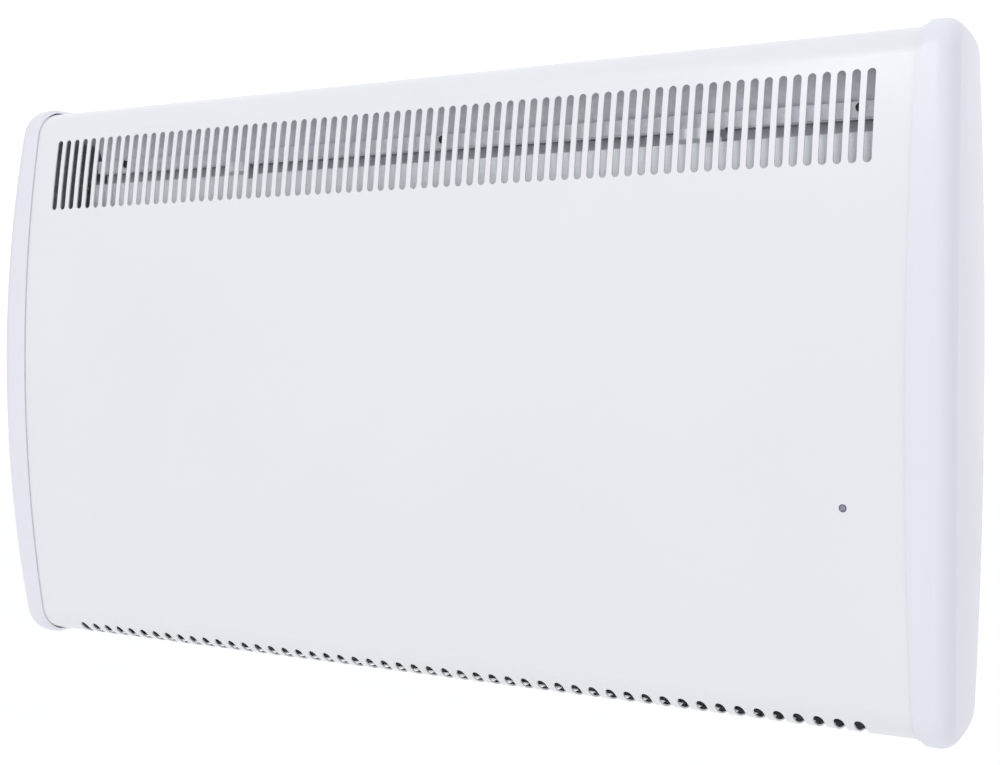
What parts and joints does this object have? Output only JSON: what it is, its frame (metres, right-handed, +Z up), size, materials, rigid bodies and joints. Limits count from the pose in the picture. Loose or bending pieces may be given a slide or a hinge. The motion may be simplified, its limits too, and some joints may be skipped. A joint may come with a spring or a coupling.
{
  "type": "fan convector heater",
  "caption": "Wall-hung fan convector heater: bowed white steel cover with air slots top and bottom, moulded end caps, and a finned element over a tangential fan.",
  "frame": {"origin": "centre of the four wall fixings, on the wall plane behind the back plate", "axes": "+X to the right as seen from the room, +Y into the wall (the face of the heater looks along -Y), +Z up"},
  "size_m": [0.762, 0.108, 0.424],
  "materials": {
    "cover_paint": "satin white polyester powder coat",
    "cap_plastic": "smooth white moulding",
    "galvanised": "galvanised sheet, dull spangle",
    "shield_steel": "bright zinc-coated sheet",
    "screw_steel": "zinc plated",
    "black_steel": "black-oxide screw steel",
    "element_sheath": "heat-darkened steel sheath",
    "fin_aluminium": "mill finish",
    "fan_aluminium": "mill finish",
    "core_steel": "varnished laminations",
    "bronze": "sintered bronze and plain brass",
    "copper_coil": "enamelled copper winding",
    "ceramic": "unglazed steatite",
    "rubber": "matt black",
    "dark_plastic": "moulded black",
    "white_plastic": "moulded natural white",
    "relay_blue": "moulded blue",
    "circuit_board": "solder-masked laminate",
    "button_clear": "clear moulding over a lamp, unlit",
    "wire_insulation": "heat-resisting sleeve"
  },
  "bodies": {
    "heater": {"air_sensor": "dark_plastic", "bearing_mount": "rubber", "button_guide": "white_plastic", "cable_grommet": "rubber", "cap_screws": "screw_steel", "clamp_screws": "screw_steel", "control_board": "circuit_board", "control_housing": "dark_plastic", "cord_clamp": "white_plastic", "cover_screws": "screw_steel", "duct_back": "galvanised", "duct_left_side": "galvanised", "duct_right_side": "galvanised", "earth_stud": "bronze", "element_bushes": "ceramic", "element_fins": "fin_aluminium", "element_support": "galvanised", "fan_left_plate": "galvanised", "fan_right_plate": "galvanised", "fan_scroll": "galvanised", "fan_shelf": "galvanised", "filter_capacitors": "relay_blue", "front_cover": "cover_paint", "heat_shield": "shield_steel", "heating_element": "element_sheath", "hood_screws": "black_steel", "internal_wiring": "wire_insulation", "left_bearing": "bronze", "left_end_bracket": "galvanised", "left_end_cap": "cap_plastic", "motor_bolts": "screw_steel", "motor_brackets": "screw_steel", "motor_bushes": "bronze", "motor_coil": "copper_coil", "motor_spacers": "screw_steel", "motor_stator": "core_steel", "outlet_hood": "galvanised", "push_switch": "dark_plastic", "radio_module": "screw_steel", "rear_chassis": "galvanised", "relays": "relay_blue", "right_end_bracket": "galvanised", "right_end_cap": "cap_plastic", "shield_screws": "screw_steel", "terminal_block": "white_plastic", "terminal_screws": "screw_steel", "thermal_cutout": "dark_plastic", "transformer": "dark_plastic", "vortex_tongue": "galvanised"},
    "fan": {"fan_impeller": "fan_aluminium", "fan_stub_shaft": "screw_steel", "motor_shaft": "screw_steel", "motor_rotor": "core_steel"},
    "pairing_button": {"pairing_button": "button_clear"}
  },
  "joints": [
    {"name": "fan_spin", "type": "hinge", "parent": "heater", "child": "fan", "pos_m": [0, -0.058, -0.122], "axis": [1, 0, 0], "continuous": true},
    {"name": "pairing_button_press", "type": "slide", "parent": "heater", "child": "pairing_button", "axis": [0, 1, 0], "range_m": [0, 0.0006], "stiffness_N_per_m": 2500}
  ]
}
